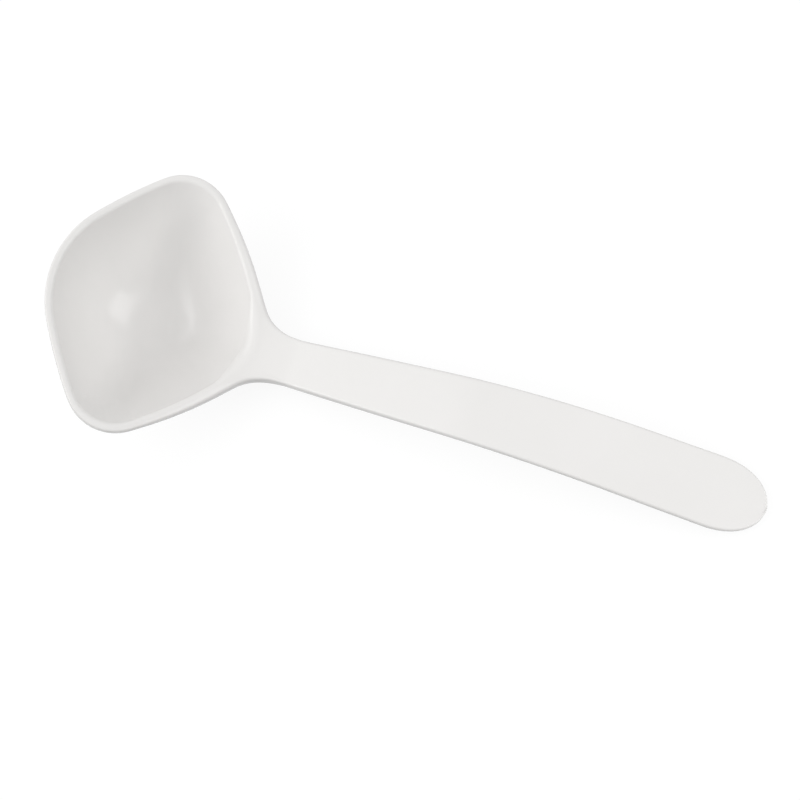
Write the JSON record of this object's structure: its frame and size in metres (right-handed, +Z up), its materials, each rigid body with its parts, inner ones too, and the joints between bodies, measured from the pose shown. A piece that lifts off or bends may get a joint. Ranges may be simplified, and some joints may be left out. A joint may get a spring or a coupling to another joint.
{
  "type": "sauce spoon",
  "caption": "White moulded sauce spoon with a deep lozenge-shaped bowl, a narrow rim, a thick neck and a long, gently arched handle with a rounded end.",
  "frame": {"origin": "middle of the bounding box, on the surface that the spoon lies on", "axes": "+X from the bowl along the spoon to the handle's end, +Y to the left for one who looks from the bowl to the handle, +Z up from the surface"},
  "size_m": [0.1708, 0.0664, 0.0366],
  "materials": {
    "white_plastic": "gloss"
  },
  "bodies": {
    "root": {"bowl": "white_plastic", "neck": "white_plastic", "handle": "white_plastic", "handle_end": "white_plastic"}
  },
  "joints": []
}
